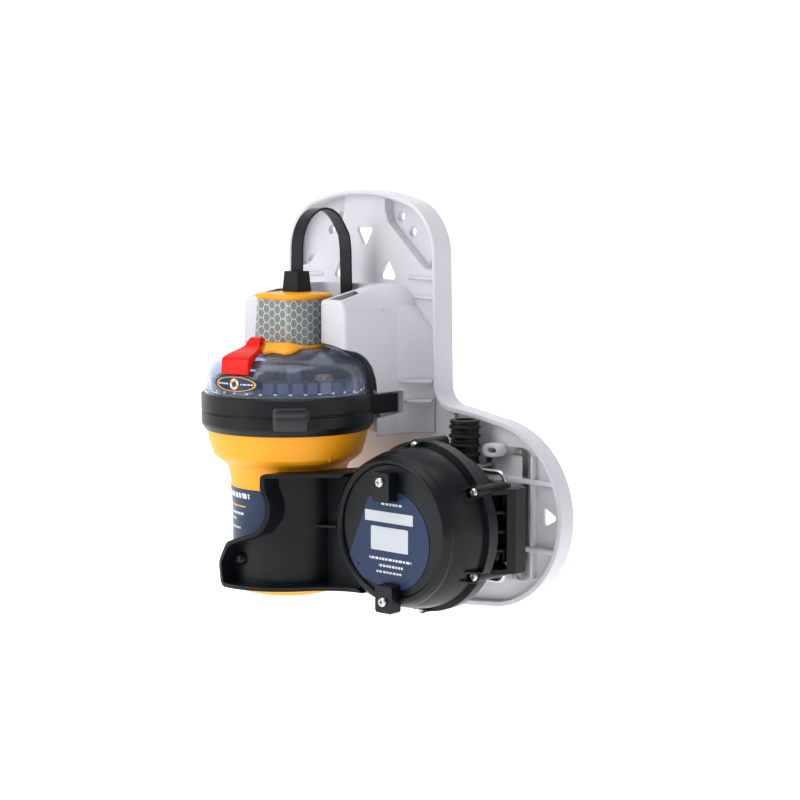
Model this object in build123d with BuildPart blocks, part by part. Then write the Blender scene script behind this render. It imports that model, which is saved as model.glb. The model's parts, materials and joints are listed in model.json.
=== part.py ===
from build123d import *
import os
from math import cos, radians, sin

# Emergency position beacon in its automatic release bracket.
# The origin is on the wall, midway between the two main upper screws.  X runs to the right,
# -Y out of the wall towards the viewer, +Z up.  All sizes are in millimetres.
# Heights below are given from the top edge of the seal ring, depths from the wall.

os.makedirs("parts", exist_ok=True)

# ---------------------------------------------------------------- driving dimensions
RING_TOP = -102.0          # top edge of the seal ring below the upper wall screws

# mounting plate
PLATE_DEPTH = 17.0
LOBE_DEPTH = 13.0          # the rim is lower around the lower lobe
RIM_WALL = 3.0
RIM_BEVEL = 0.9
FLOOR_BACK = 8.5
FLOOR_FRONT = 11.0
LOBE_FLOOR = 8.0           # front of the floor in the lower lobe
FLOOR_THICK = 2.5
PAD_FRONT = 4.0            # front face of the recessed screw pads
SCREW_HOLE_R = 3.2
MAIN_SCREW_X = 37.0        # the two main upper screws, on either side of the middle
MAIN_SCREW_H = 102.0
LOWER_SCREW = (133.4, -75.5)
PLATE_TOP = 129.5
PLATE_BOTTOM = -145.0
PLATE_HALF = 69.0
LOBE_X = 108.2
LOBE_H = -77.5
LOBE_R = 61.0

# cradle
CRADLE_HALF = 47.0
CRADLE_FRONT = 80.0
CRADLE_TOP = 67.5
CRADLE_BOTTOM = -29.5
CHANNEL_HALF = 26.0
CHANNEL_BACK = 24.0
LEG_BOTTOM = 29.8
CRADLE_WALL = 3.0

# beacon
BEACON_OUT = 85.0          # axis of the beacon from the wall
RING_R = 56.0
RING_HEIGHT = 24.0
RING_BORE = 50.8
STEM_R = 36.0
BASE_TOP = -121.0
BASE_BOTTOM = -131.0
SHELL = 2.5
NECK_R = 24.0
NECK_TOP = 29.0
GRIP_OUT = 78.6            # middle of the square grip from the wall
GRIP_HALF = 18.8
GRIP_TOP = 60.4
CAP_TOP = 64.2

# release unit and arm
UNIT_X = 98.0              # middle of the front label
UNIT_H = -86.0
FACE_X = 98.8              # middle of the round front face
FACE_H = -80.0
CASE_X = 101.5             # middle of the flange and of the rear case
CASE_H = -80.0
FACE_OUT = 95.0
FACE_R = 46.5
FLANGE_OUT = 62.5
FLANGE_R = 54.0
UNIT_BACK = 40.0
CASE_SCREW_CIRCLE = 51.0
ARM_TOP = -47.5
ARM_BOTTOM = -122.5
ARM_REACH = 140.0
ARM_WALL = 2.6
ARM_BORE = 39.6            # the arm's curved seat around the stem
HINGE_X = 142.0
HINGE_OUT = 36.0
WIRE_R = 1.5

# bellows
GAITER_X = 98.2
GAITER_OUT = 22.4

# ---------------------------------------------------------------- planes and axes
wall = Plane(origin=(0, 0, RING_TOP), x_dir=(1, 0, 0), z_dir=(0, -1, 0))
axial = Plane(origin=(0, -BEACON_OUT, RING_TOP), x_dir=(1, 0, 0), z_dir=(0, -1, 0))
beacon_axis = Axis((0, -BEACON_OUT, RING_TOP), (0, 0, 1))
face_axial = Plane(origin=(FACE_X, 0, RING_TOP + FACE_H), x_dir=(1, 0, 0), z_dir=(0, 0, -1))
face_axis = Axis((FACE_X, 0, RING_TOP + FACE_H), (0, 1, 0))
case_axial = Plane(origin=(CASE_X, 0, RING_TOP + CASE_H), x_dir=(1, 0, 0), z_dir=(0, 0, -1))
case_axis = Axis((CASE_X, 0, RING_TOP + CASE_H), (0, 1, 0))
lengthwise = Plane(origin=(0, 0, RING_TOP), x_dir=(0, -1, 0), z_dir=(-1, 0, 0))


def level(height):
    """Horizontal plane at a height over the seal ring's top edge."""
    return Plane.XY.offset(RING_TOP + height)


def outline(plane, *points, radius=0.0):
    """Straight-sided closed face, with its corners rounded if a radius is given."""
    with BuildSketch(plane) as shape:
        with BuildLine():
            Polyline(*points, close=True)
        make_face()
        if radius:
            fillet(shape.vertices(), radius)
    return shape.sketch


def disc(plane, radius, hole=0.0, at=(0, 0)):
    """Round face or washer on a plane."""
    with BuildSketch(plane) as shape:
        with Locations(at):
            Circle(radius)
            if hole:
                Circle(hole, mode=Mode.SUBTRACT)
    return shape.sketch


def panel(plane, width, height, radius, at=(0, 0)):
    """Rectangle with rounded corners on a plane."""
    with BuildSketch(plane) as shape:
        with Locations(at):
            RectangleRounded(width, height, radius)
    return shape.sketch


def around(angle, radius):
    """Place on a circle about the beacon's axis; 0 degrees faces away from the wall."""
    turn = radians(angle)
    return radius * sin(turn), -BEACON_OUT - radius * cos(turn)


def save(builder, name):
    """Label a finished sub-part and write it."""
    builder.part.label = name
    export_step(builder.part, f"parts/{name}.step")


# ================================================================ mounting plate
def plate_face(inset=0.0):
    """Outline of the plate: crowned upper lobe, round lower lobe on the right."""
    with BuildSketch() as shape:
        with BuildLine():
            top = ThreePointArc((-47, 121), (0, PLATE_TOP), (47, 121))
            corner = ThreePointArc(top @ 1, (61, 108), (67.3, 88))
            edge = Line(corner @ 1, (PLATE_HALF, 3))
            hollow = ThreePointArc(edge @ 1, (73.2, -7.2), (84, -11.3))
            shoulder = Line(hollow @ 1, (118.8, LOBE_H + 60.1))
            lobe = ThreePointArc(shoulder @ 1, (LOBE_X + LOBE_R, LOBE_H), (118, LOBE_H - 60.2))
            foot = Line(lobe @ 1, (40, PLATE_BOTTOM))
            sill = Line(foot @ 1, (-34, PLATE_BOTTOM))
            turn = ThreePointArc(sill @ 1, (-58, -135), (-PLATE_HALF, -112))
            back = Line(turn @ 1, (-67.3, 88))
            ThreePointArc(back @ 1, (-61, 108), top @ 0)
        make_face()
        if inset:
            offset(amount=-inset, mode=Mode.REPLACE)
    return shape.sketch


def plate_outline(depth, inset=0.0):
    """The plate's outline on a plane at a depth."""
    return wall.offset(depth) * plate_face(inset)


def plate_field(depth, start, end):
    """The plate's outline inside its rim, between two distances to the right of the middle."""
    with BuildSketch(wall.offset(depth)) as shape:
        add(plate_face(RIM_WALL))
        with Locations(((start + end) / 2, 0)):
            Rectangle(end - start, 400, mode=Mode.INTERSECT)
    return shape.sketch


def corner_pad(side, depth, inset, rim_inset):
    """Recessed field of screw holes in an upper corner, kept inside the rim."""
    corners = [(side * x, height) for x, height in
               ((16, 150), (16, 116), (19, 107), (50, 78), (58, 75), (90, 75), (90, 150))]
    with BuildSketch(wall.offset(depth)) as shape:
        with BuildLine():
            Polyline(*corners[::side], close=True)
        make_face()
        fillet(shape.vertices(), 4)
        offset(amount=-inset, mode=Mode.REPLACE)
        add(plate_face(rim_inset), mode=Mode.INTERSECT)
    return shape.sketch


def window(middle, size, turn):
    """Triangular window with rounded corners; its point is turned from straight up."""
    with BuildSketch(wall) as shape:
        with Locations(Location(middle, turn)):
            RegularPolygon(size, 3, rotation=90)
        fillet(shape.vertices(), 2)
    return shape.sketch


SCREW_HOLES = [(MAIN_SCREW_X, MAIN_SCREW_H), (27, 112), (56, 81)]
WINDOWS = [((0, 100), 9.5, 180), ((-21, 75), 9.5, 0), ((21, 75), 9.5, 0), ((155.4, -76), 8.0, -90)]
RIB_HEIGHTS = (-54.0, -97.5)
LOBE_START = 80.0
FRAME_MIDDLE = (123.0, -76.0)
FRAME_WIDTH = 35.0
FRAME_HEIGHT = 86.0
FRAME_STRIP = 5.0
FRAME_THICK = 1.6

with BuildPart() as mounting_plate:
    straight = PLATE_DEPTH - RIM_BEVEL
    extrude(plate_outline(0), amount=straight)
    loft([plate_outline(straight), plate_outline(PLATE_DEPTH, RIM_BEVEL)])
    extrude(plate_outline(FLOOR_FRONT, RIM_WALL), amount=PLATE_DEPTH, mode=Mode.SUBTRACT)
    loft([plate_outline(straight, RIM_WALL), plate_outline(PLATE_DEPTH, RIM_WALL - RIM_BEVEL)],
         mode=Mode.SUBTRACT)
    extrude(plate_field(0, -90, LOBE_START - FLOOR_THICK), amount=FLOOR_BACK, mode=Mode.SUBTRACT)
    # lower lobe: deeper floor and lower rim
    extrude(plate_field(0, LOBE_START - FLOOR_THICK, 190), amount=LOBE_FLOOR - FLOOR_THICK,
            mode=Mode.SUBTRACT)
    extrude(plate_field(LOBE_FLOOR, LOBE_START, 190), amount=PLATE_DEPTH, mode=Mode.SUBTRACT)
    extrude(outline(level(PLATE_BOTTOM - 5), (70, -PLATE_DEPTH), (94, -LOBE_DEPTH), (190, -LOBE_DEPTH),
                    (190, -40), (70, -40)), amount=160, mode=Mode.SUBTRACT)
    # screw pads of the upper corners, sunk towards the wall
    for side in (-1, 1):
        extrude(corner_pad(side, 0, 0, RIM_WALL / 2), amount=FLOOR_BACK)
        extrude(corner_pad(side, PAD_FRONT, 2.5, RIM_WALL), amount=FLOOR_FRONT, mode=Mode.SUBTRACT)
        for x, height in SCREW_HOLES:
            with Locations(wall.offset(PAD_FRONT) * Location((side * x, height))):
                Hole(SCREW_HOLE_R)
    # pillar and counterbored hole for the lower screw
    extrude(disc(wall, 10.5, at=LOWER_SCREW), amount=LOBE_FLOOR - 1)
    with Locations(wall.offset(LOBE_FLOOR) * Location(LOWER_SCREW)):
        CounterBoreHole(SCREW_HOLE_R, 7.8, 3)
    for middle, size, turn in WINDOWS:
        extrude(window(middle, size, turn), amount=FLOOR_FRONT + 1, mode=Mode.SUBTRACT)
    # ribs across the lower lobe, and a ledge beside the steel frame
    for height in RIB_HEIGHTS:
        extrude(outline(level(height - 1.4), (81, -LOBE_FLOOR + 1), (164, -LOBE_FLOOR + 1), (164, -12.4),
                        (81, -12.4)), amount=2.8)
    extrude(outline(wall.offset(LOBE_FLOOR - 1), (143.8, -38), (146, -38), (146, -116), (143.8, -116)),
            amount=5.0)
    # short ribs that stiffen the rim above the cradle's flanks
    for height, start in ((72, 39), (59.5, 44.5)):
        for side in (-1, 1):
            extrude(outline(level(height - 0.9), (side * start, -FLOOR_FRONT + 1),
                            (side * 67, -FLOOR_FRONT + 1), (side * 67, -16.4), (side * start, -11.4)),
                    amount=1.8)
    # way for the steel frame through the ribs
    with BuildSketch(wall.offset(LOBE_FLOOR)):
        with Locations(FRAME_MIDDLE):
            RectangleRounded(FRAME_WIDTH + 1, FRAME_HEIGHT + 1, 5)
            RectangleRounded(FRAME_WIDTH - 2 * FRAME_STRIP - 1, FRAME_HEIGHT - 2 * FRAME_STRIP - 1, 1,
                             mode=Mode.SUBTRACT)
    extrude(amount=FRAME_THICK + 0.6, mode=Mode.SUBTRACT)
save(mounting_plate, "mounting_plate")


# ================================================================ cradle
with BuildPart() as beacon_cradle:
    with BuildSketch(wall.offset(FLOOR_FRONT)) as front_view:
        with BuildLine():
            Polyline((-CRADLE_HALF, CRADLE_BOTTOM), (CRADLE_HALF, CRADLE_BOTTOM),
                     (CRADLE_HALF, CRADLE_TOP), (-CRADLE_HALF, CRADLE_TOP), close=True)
        make_face()
        fillet(front_view.vertices().group_by(Axis.Y)[-1], 19)
    extrude(amount=CRADLE_FRONT - FLOOR_FRONT)
    # the top slopes down towards the front
    extrude(outline(lengthwise, (36, CRADLE_TOP + 0.01), (82, 59), (82, 90), (36, 90)), amount=60,
            both=True, mode=Mode.SUBTRACT)
    # concave flanks that run out towards the rim of the plate, sloping off at the top
    for side in (-1, 1):
        with BuildSketch(level(CRADLE_BOTTOM)):
            with BuildLine():
                base = Line((side * 44, -FLOOR_FRONT), (side * 63.5, -FLOOR_FRONT))
                hollow = ThreePointArc(base @ 1, (side * 51.8, -20.5), (side * CRADLE_HALF, -44))
                inner = Line(hollow @ 1, (side * 44, -44))
                Line(inner @ 1, base @ 0)
            make_face()
        extrude(amount=84)
        extrude(outline(wall, (side * 46, 54.5), (side * 70, 30), (side * 70, 60)),
                amount=50, mode=Mode.SUBTRACT)
        # ribs from the flank to the rim
        for height in (5.0, -8.0):
            extrude(outline(level(height - 0.9), (side * 46.5, -FLOOR_FRONT), (side * 64.5, -FLOOR_FRONT),
                            (side * 64.5, -16.2), (side * 47.5, -30)), amount=1.8)
    front_edges = beacon_cradle.edges().filter_by_position(Axis.Y, -CRADLE_FRONT - 0.1, -CRADLE_FRONT + 0.1)
    fillet(front_edges.sort_by(Axis.Z)[1:], 2.5)
    # room for dome and ring, then the channel for grip and antenna
    revolve(outline(axial, (0, CRADLE_BOTTOM - 1), (RING_R + 2.4, CRADLE_BOTTOM - 1), (RING_R + 2.4, 2),
                    (57.8, 8), (55.8, 16), (53, 22), (50, 26), (47, 28.6), (36, 31), (26, 32.2), (0, 32.2)),
            axis=beacon_axis, mode=Mode.SUBTRACT)
    extrude(panel(level(LEG_BOTTOM - 1), 2 * CHANNEL_HALF, 120, 6, at=(0, -CHANNEL_BACK - 60)),
            amount=60, mode=Mode.SUBTRACT)
    # hollow behind the wall around the ring, and hollow legs
    with BuildSketch(level(CRADLE_BOTTOM - 1)):
        with Locations((0, -FLOOR_FRONT)):
            Rectangle(2 * (CRADLE_HALF - 5), 80)
        with Locations((0, -BEACON_OUT)):
            Circle(RING_R + 2 + CRADLE_WALL, mode=Mode.SUBTRACT)
    extrude(amount=LEG_BOTTOM - CRADLE_BOTTOM - CRADLE_WALL + 1, mode=Mode.SUBTRACT)
    for side in (-1, 1):
        extrude(outline(wall.offset(FLOOR_FRONT - 1), (side * 29, 35.6), (side * 44, 34), (side * 44, 55),
                        (side * 38, 63.5), (side * 29, 64.5)),
                amount=CRADLE_FRONT - FLOOR_FRONT - CRADLE_WALL, mode=Mode.SUBTRACT)
        # notch beside the ring for its rear lug, open to the front
        extrude(outline(lengthwise.offset(-side * 40), (26, -1.4), (70, -1.4), (70, -14), (52, -18.5),
                        (26, -16)), amount=30, both=True, mode=Mode.SUBTRACT)
save(beacon_cradle, "beacon_cradle")


# ================================================================ steel frame, clips and hinge bail
with BuildPart() as hinge_frame:
    with BuildSketch(wall.offset(LOBE_FLOOR)):
        with Locations(FRAME_MIDDLE):
            RectangleRounded(FRAME_WIDTH, FRAME_HEIGHT, 4.5)
            RectangleRounded(FRAME_WIDTH - 2 * FRAME_STRIP, FRAME_HEIGHT - 2 * FRAME_STRIP, 1.5,
                             mode=Mode.SUBTRACT)
    extrude(amount=FRAME_THICK)
    frame_front = wall.offset(LOBE_FLOOR + FRAME_THICK)
    with Locations(frame_front * Location((133, -116.5)), frame_front * Location((133, -35.5))):
        Hole(1.6)
save(hinge_frame, "hinge_frame")

with BuildPart() as frame_clips:
    for x, height in ((116.0, -35.5), (121.5, -116.5)):
        with BuildSketch(wall.offset(LOBE_FLOOR + FRAME_THICK)):
            with Locations((x, height)):
                SlotOverall(13, 8.5)
                with Locations((1.5, 0)):
                    SlotOverall(7, 3.2, mode=Mode.SUBTRACT)
        extrude(amount=9)
save(frame_clips, "frame_clips")

BAIL_TOP = -45.5
BAIL_FOOT = -114.5
BAIL_X = 110.5
with BuildPart() as hinge_bail:
    start = (BAIL_X, -LOBE_FLOOR - FRAME_THICK, RING_TOP + BAIL_TOP)
    with BuildLine() as bail_path:
        FilletPolyline(start, (BAIL_X, -HINGE_OUT, RING_TOP + BAIL_TOP),
                       (HINGE_X, -HINGE_OUT, RING_TOP + BAIL_TOP),
                       (HINGE_X, -HINGE_OUT, RING_TOP + BAIL_FOOT),
                       (BAIL_X, -HINGE_OUT, RING_TOP + BAIL_FOOT),
                       (BAIL_X, -LOBE_FLOOR - FRAME_THICK, RING_TOP + BAIL_FOOT), radius=5)
    with BuildSketch(Plane(origin=start, z_dir=(0, -1, 0))):
        Circle(WIRE_R)
    sweep(path=bail_path.wires()[0])
save(hinge_bail, "hinge_bail")

# ================================================================ bellows with the ejector inside
GAITER_TOP = -16.8
GAITER_FOOT = -49.4
GAITER_RINGS = 5
gaiter_plane = Plane(origin=(GAITER_X, -GAITER_OUT, RING_TOP), x_dir=(1, 0, 0), z_dir=(0, -1, 0))
gaiter_axis = Axis((GAITER_X, -GAITER_OUT, RING_TOP), (0, 0, 1))

with BuildPart() as spring_gaiter:
    pitch = 5.6
    crests = [GAITER_TOP - 4.5 - pitch * n for n in range(GAITER_RINGS)]
    profile = [(6.2, GAITER_TOP), (9.4, GAITER_TOP), (9.4, GAITER_TOP - 2.5)]
    for crest in crests:
        profile += [(9.0, crest + 1.6), (10.3, crest + 0.7), (10.3, crest - 0.7), (9.0, crest - 1.6)]
    profile += [(8.4, GAITER_FOOT + 3), (8.4, GAITER_FOOT), (6.2, GAITER_FOOT)]
    revolve(outline(gaiter_plane, *profile), axis=gaiter_axis)
save(spring_gaiter, "spring_gaiter")

with BuildPart() as ejector_spring:
    turns = Helix(pitch=4.0, height=20, radius=4.6,
                  center=(GAITER_X, -GAITER_OUT, RING_TOP + GAITER_FOOT + 3))
    with BuildSketch(Plane(origin=turns @ 0, z_dir=turns % 0)):
        Circle(0.7)
    sweep(path=turns)
save(ejector_spring, "ejector_spring")

with BuildPart() as ejector_rod:
    revolve(outline(gaiter_plane, (0, GAITER_TOP - 3), (3.4, GAITER_TOP - 3), (3.4, GAITER_TOP - 5),
                    (2.2, GAITER_TOP - 5), (2.2, GAITER_FOOT + 1), (5.8, GAITER_FOOT + 1),
                    (5.8, GAITER_FOOT), (0, GAITER_FOOT)), axis=gaiter_axis)
save(ejector_rod, "ejector_rod")

with BuildPart() as gaiter_bracket:
    with BuildSketch(level(GAITER_FOOT - 2.6)):
        with Locations((GAITER_X, -LOBE_FLOOR - 12.5)):
            RectangleRounded(14, 25, 3)
    extrude(amount=2.6)
save(gaiter_bracket, "gaiter_bracket")

with BuildPart() as latch_stud:
    revolve(outline(case_axial, (0, LOBE_FLOOR), (3.8, LOBE_FLOOR), (3.8, 42), (6, 44),
                    (6, 46.5), (4.5, 48), (0, 48)), axis=case_axis)
save(latch_stud, "latch_stud")


# ================================================================ beacon body
with BuildPart() as lower_body:
    revolve(outline(axial, (0, BASE_TOP), (35.4, BASE_TOP), (STEM_R, BASE_TOP + 1), (STEM_R, -75),
                    (36.9, -64.4), (37.6, -56), (38.9, -49.5), (40.6, -46.2), (45.5, -42.8), (48.3, -40.2),
                    (49.6, -36.5), (51.2, -31), (52.6, -RING_HEIGHT), (49.4, -RING_HEIGHT), (49.4, -6),
                    (46.6, -6), (46.6, -32), (45, -37), (40, -41), (36, -46), (34.6, -55), (33.6, -64),
                    (33.4, BASE_TOP + SHELL), (0, BASE_TOP + SHELL)), axis=beacon_axis)
    # fine moulded rib on the right of the bowl
    with BuildSketch(Plane(origin=(*around(78, 44), RING_TOP - 41.5), z_dir=(0, 0, 1))):
        with Locations(Rotation(0, 0, -12)):
            Rectangle(10.4, 1.2)
    extrude(amount=12)
save(lower_body, "lower_body")

with BuildPart() as base_cap:
    revolve(outline(axial, (0, BASE_BOTTOM), (24, BASE_BOTTOM), (30.5, BASE_BOTTOM + 1.6),
                    (34.2, BASE_BOTTOM + 4.6), (35.6, BASE_TOP - 2.4), (35.6, BASE_TOP), (0, BASE_TOP)),
            axis=beacon_axis)
    with Locations(Plane.XY.offset(RING_TOP + BASE_BOTTOM) * Location((0, -BEACON_OUT))):
        with PolarLocations(27, 4, start_angle=30):
            Box(9, 4, 3, mode=Mode.SUBTRACT)
save(base_cap, "base_cap")

with BuildPart() as body_label:
    revolve(outline(axial, (STEM_R + 0.02, -108), (STEM_R + 0.3, -108), (STEM_R + 0.3, -75.1),
                    (37.2, -64.4), (37.45, -61), (37.17, -61), (36.92, -64.4), (STEM_R + 0.02, -75)),
            axis=Axis(beacon_axis.position, (0, 0, -1)), revolution_arc=200)
save(body_label, "body_label")

with BuildPart() as battery_cells:
    with Locations(Location((0, -BEACON_OUT, RING_TOP - 116))):
        with PolarLocations(18.6, 4, start_angle=45):
            Cylinder(12.9, 50, align=(Align.CENTER, Align.CENTER, Align.MIN))
            with Locations((0, 0, 50)):
                Cylinder(4, 1.5, align=(Align.CENTER, Align.CENTER, Align.MIN))
save(battery_cells, "battery_cells")

with BuildPart() as battery_cradle:
    with Locations(Location((0, -BEACON_OUT, RING_TOP - 118.4))):
        Cylinder(32.8, 2.3, align=(Align.CENTER, Align.CENTER, Align.MIN))
        Cylinder(3.4, 60, align=(Align.CENTER, Align.CENTER, Align.MIN))
    with Locations(Location((0, -BEACON_OUT, RING_TOP - 60.4))):
        Cylinder(32.4, 2, align=(Align.CENTER, Align.CENTER, Align.MIN))
save(battery_cradle, "battery_cradle")

with BuildPart() as power_board:
    with Locations(Location((0, -BEACON_OUT, RING_TOP - 58.2))):
        Cylinder(31.5, 1.6, align=(Align.CENTER, Align.CENTER, Align.MIN))
        with PolarLocations(20, 5):
            Box(8, 6, 3.4, align=(Align.CENTER, Align.CENTER, Align.MIN))
save(power_board, "power_board")

# seal ring with parting groove and two rear lugs
LATCH_ANGLE = 47.0
with BuildPart() as seal_ring:
    revolve(outline(axial, (RING_BORE, -RING_HEIGHT), (53.4, -RING_HEIGHT), (RING_R - 0.6, -21),
                    (RING_R, -19.5), (RING_R, -12.4), (RING_R - 0.7, -11.9), (RING_R - 0.7, -11.1),
                    (RING_R, -10.6), (RING_R, -1), (RING_R - 1, 0), (RING_BORE, 0)), axis=beacon_axis)
    for side in (-1, 1):
        with Locations((side * 42, -40, RING_TOP - 9.2)):
            Box(6, 24, 12)
    extrude(disc(level(-RING_HEIGHT), RING_BORE, at=(0, -BEACON_OUT)), amount=RING_HEIGHT,
            mode=Mode.SUBTRACT)
save(seal_ring, "seal_ring")

latch_plane = Plane(origin=(*around(LATCH_ANGLE, RING_R - 2), RING_TOP - 12.0),
                    x_dir=(cos(radians(LATCH_ANGLE)), sin(radians(LATCH_ANGLE)), 0),
                    z_dir=(sin(radians(LATCH_ANGLE)), -cos(radians(LATCH_ANGLE)), 0))
with BuildPart() as ring_latch:
    extrude(panel(latch_plane, 22, 14.4, 3), amount=5)
    fillet(ring_latch.faces().sort_by(Axis(latch_plane.origin, latch_plane.z_dir))[-1].edges(), 1.4)
    with BuildSketch(latch_plane.offset(4.2)):
        Rectangle(26, 0.8)
    extrude(amount=2, mode=Mode.SUBTRACT)
    extrude(disc(level(-30), RING_R + 0.02, at=(0, -BEACON_OUT)), amount=40, mode=Mode.SUBTRACT)
save(ring_latch, "ring_latch")

with BuildPart() as o_ring:
    revolve(disc(axial, 0.9, at=(48.2, -3.6)), axis=beacon_axis)
save(o_ring, "o_ring")

with BuildPart() as dome:
    with BuildSketch(axial):
        with BuildLine():
            skirt = Polyline((51.6, 0.05), (54.1, 0.05), (54.1, 1.6), (52.9, 2.2))
            wall_curve = Spline(skirt @ 1, (52.4, 8), (51.3, 13.9), (49.6, 17.6), (46.2, 21))
            crown = Spline(wall_curve @ 1, (40, 24.4), (32, 27.4), (NECK_R, NECK_TOP))
            neck = Polyline(crown @ 1, (NECK_R - 1.2, NECK_TOP), (NECK_R - 1.2, NECK_TOP - 2.2))
            inner_crown = Spline(neck @ 1, (32, 25.0), (40, 22.0), (44.8, 19.2))
            inner_wall = Spline(inner_crown @ 1, (47.6, 16.4), (49.2, 12.8), (50.2, 8), (50.6, 2))
            Polyline(inner_wall @ 1, (51.6, 2), skirt @ 0)
        make_face()
    revolve(axis=beacon_axis)
save(dome, "dome")

# castellated ring that carries the strobe's light around the dome
GUIDE_WINDOWS = 34
with BuildPart() as light_guide:
    revolve(outline(axial, (46.8, 0.1), (49.4, 0.1), (49.4, 10.4), (46.8, 10.4)), axis=beacon_axis)
    with BuildSketch(level(3.2)):
        with Locations((0, -BEACON_OUT)):
            with PolarLocations(48, GUIDE_WINDOWS):
                Rectangle(6, 6.4)
    extrude(amount=5.6, mode=Mode.SUBTRACT)
save(light_guide, "light_guide")

with BuildPart() as main_board:
    extrude(disc(level(1.2), 46.2, at=(0, -BEACON_OUT)), amount=1.6)
save(main_board, "main_board")


def on_board(angle, radius, height=2.8):
    """Place on the main board about the beacon's axis."""
    return Location((*around(angle, radius), RING_TOP + height), (0, 0, angle))


STANDING = (Align.CENTER, Align.CENTER, Align.MIN)
with BuildPart() as board_chips:
    for angle, radius, width, depth, tall in ((-30, 30, 12, 12, 2), (0, 34, 9, 7, 2.4), (24, 38, 6, 10, 3),
                                              (104, 34, 12, 8, 3), (140, 32, 10, 10, 2), (-70, 34, 12, 7, 4),
                                              (-110, 30, 9, 9, 3), (180, 30, 16, 8, 3)):
        with Locations(on_board(angle, radius)):
            Box(width, depth, tall, align=STANDING)
save(board_chips, "board_chips")

with BuildPart() as satellite_antenna:
    with Locations(on_board(12, 31, 17)):
        Box(16, 16, 3.6, align=STANDING)
        with Locations((0, 0, -9)):
            Cylinder(3, 9, align=STANDING)
    fillet(satellite_antenna.edges().filter_by(Axis.Z), 2)
save(satellite_antenna, "satellite_antenna")

with BuildPart() as strobe_leds:
    for angle in (-55, 36, 128, -140):
        with Locations(on_board(angle, 41)):
            Box(5, 5, 1.6, align=STANDING)
            with Locations((0, 0, 1.6)):
                Cylinder(1.9, 1, align=STANDING)
save(strobe_leds, "strobe_leds")

with BuildPart() as light_pipe:
    with Locations(on_board(52, 33)):
        Cylinder(4.6, 15, align=STANDING)
        Cylinder(3.2, 15, align=STANDING, mode=Mode.SUBTRACT)
save(light_pipe, "light_pipe")

with BuildPart() as pipe_cap:
    with Locations(on_board(52, 33, 17.8)):
        Cylinder(4.6, 2, align=STANDING)
save(pipe_cap, "pipe_cap")

with BuildPart() as tuning_coil:
    coil_turns = Helix(pitch=2.4, height=9.6, radius=4.2)
    coil_foot = Location((*around(84, 31), RING_TOP + 8.8), (0, 90, 0))
    coil_path = coil_turns.moved(coil_foot)
    with BuildSketch(Plane(origin=coil_path @ 0, z_dir=coil_path % 0)):
        Circle(0.55)
    sweep(path=coil_path)
save(tuning_coil, "tuning_coil")

with BuildPart() as tuning_part:
    with Locations(on_board(70, 40)):
        Box(4.6, 4.6, 5.5, align=STANDING)
save(tuning_part, "tuning_part")

# neck, grip and antenna
GRIP_TAPER = 0.05
TAPE_BOTTOM = NECK_TOP + 1.8


def grip_section(height, grow=0.0):
    """Rounded square section of the grip, a little wider lower down."""
    half = GRIP_HALF + grow + (GRIP_TOP - height) * GRIP_TAPER
    return panel(level(height), 2 * half, 2 * half, 8 + grow, at=(0, -GRIP_OUT))


with BuildPart() as neck_grip:
    extrude(disc(level(NECK_TOP + 0.1), NECK_R, at=(0, -BEACON_OUT)), amount=1.5)
    loft([grip_section(NECK_TOP + 1.6), grip_section(GRIP_TOP)])
    with Locations(Location((0, -GRIP_OUT, RING_TOP + NECK_TOP))):
        Box(28, 26, 28, align=STANDING, mode=Mode.SUBTRACT)
save(neck_grip, "neck_grip")

with BuildPart() as reflective_tape:
    loft([grip_section(TAPE_BOTTOM, 0.5), grip_section(GRIP_TOP - 1, 0.5)])
    loft([grip_section(TAPE_BOTTOM, 0.03), grip_section(GRIP_TOP - 1, 0.03)], mode=Mode.SUBTRACT)
save(reflective_tape, "reflective_tape")

with BuildPart() as grip_cap:
    extrude(panel(level(GRIP_TOP), 2 * GRIP_HALF + 3, 2 * GRIP_HALF + 3, 9, at=(0, -GRIP_OUT)),
            amount=CAP_TOP - GRIP_TOP)
    fillet(grip_cap.faces().sort_by(Axis.Z)[-1].edges(), 1.8)
save(grip_cap, "grip_cap")

BOOT_OUT = 76.0
BOOT_TOP = 77.4
with BuildPart() as antenna_boot:
    loft([panel(level(CAP_TOP), 15.5, 13, 1.5, at=(0, -BOOT_OUT)),
          panel(level(BOOT_TOP), 13.5, 11, 1.5, at=(0, -BOOT_OUT))])
save(antenna_boot, "antenna_boot")

BLADE_WIDTH = 9.6
BLADE_THICK = 1.5
with BuildPart() as antenna_blade:
    with BuildSketch(Plane(origin=(0, 0, RING_TOP), x_dir=(0, -1, 0), z_dir=(-1, 0, 0))):
        with BuildLine() as blade_curve:
            front_leg = Line((75.6, BOOT_TOP + 0.02), (75.2, 92))
            arch = Spline(front_leg @ 1, (73.4, 102), (67.5, 111.5), (58, 117), (47.5, 116.6), (39, 110.8),
                          (33, 102.5), (29.8, 90), tangents=[(-0.03, 1), (-0.12, -1)])
            Line(arch @ 1, (28.6, 40))
        trace(line_width=BLADE_THICK)
    extrude(amount=BLADE_WIDTH / 2, both=True)
save(antenna_blade, "antenna_blade")


# ================================================================ switch on the dome
SWITCH_ANGLE = 7.0
switch_plane = Plane(origin=(0, -BEACON_OUT, RING_TOP),
                     x_dir=(sin(radians(SWITCH_ANGLE)), -cos(radians(SWITCH_ANGLE)), 0),
                     z_dir=(-cos(radians(SWITCH_ANGLE)), -sin(radians(SWITCH_ANGLE)), 0))

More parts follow.
